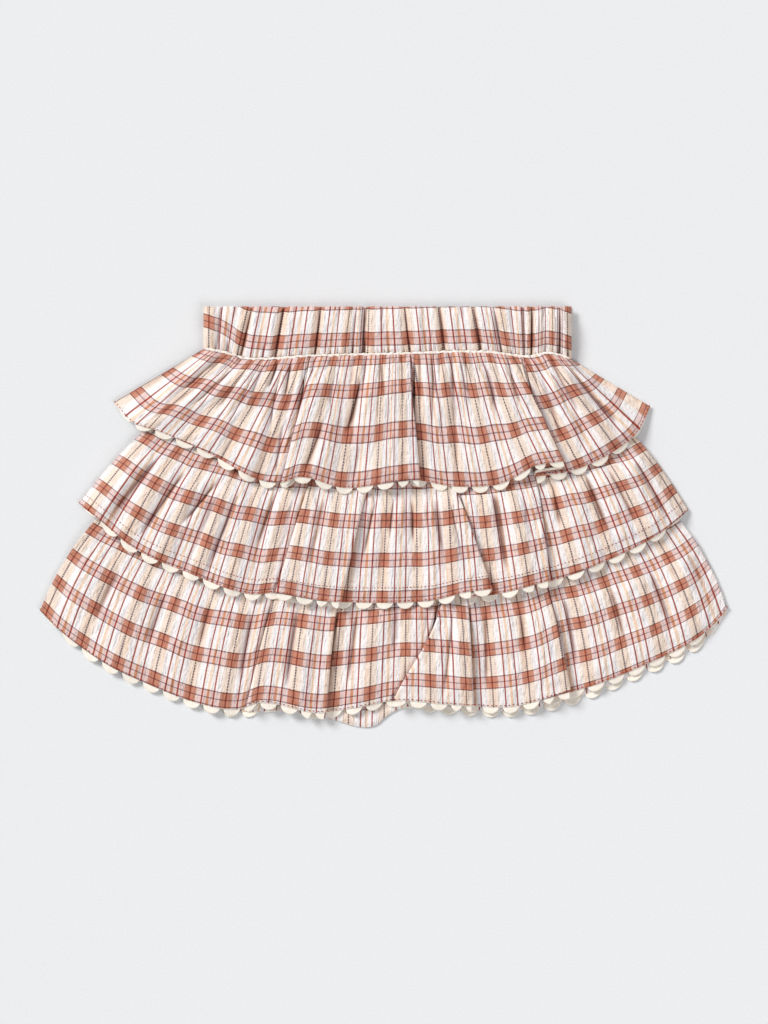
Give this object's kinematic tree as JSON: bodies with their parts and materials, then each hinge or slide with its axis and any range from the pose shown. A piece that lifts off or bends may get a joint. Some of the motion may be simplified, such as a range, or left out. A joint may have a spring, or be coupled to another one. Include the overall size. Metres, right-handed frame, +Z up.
{
  "type": "tiered ruffle skirt",
  "caption": "Child's tiered ruffle skirt in woven check, laid flat, with a gathered elastic waistband and scalloped tape under each ruffled hem.",
  "frame": {"origin": "on the surface the skirt lies on, at the middle of its outline", "axes": "+X across the skirt to the right as seen from above, +Y from the hems to the waistband, +Z up off the surface"},
  "size_m": [0.4155, 0.2535, 0.0142],
  "materials": {
    "check_cloth": "matt woven cotton, cream and rust check",
    "scalloped_tape": "matt cream cotton tape"
  },
  "bodies": {
    "root": {"waistband_front": "check_cloth", "waistband_back": "check_cloth", "base_front": "check_cloth", "base_back": "check_cloth", "ruffle_1_front": "check_cloth", "ruffle_1_back": "check_cloth", "ruffle_2_front": "check_cloth", "ruffle_2_back": "check_cloth", "ruffle_3_front": "check_cloth", "ruffle_3_back": "check_cloth", "trim_1_front": "scalloped_tape", "trim_1_back": "scalloped_tape", "trim_2_front": "scalloped_tape", "trim_2_back": "scalloped_tape", "trim_3_front": "scalloped_tape", "trim_3_back_left": "scalloped_tape", "trim_3_back_right": "scalloped_tape"}
  },
  "joints": []
}
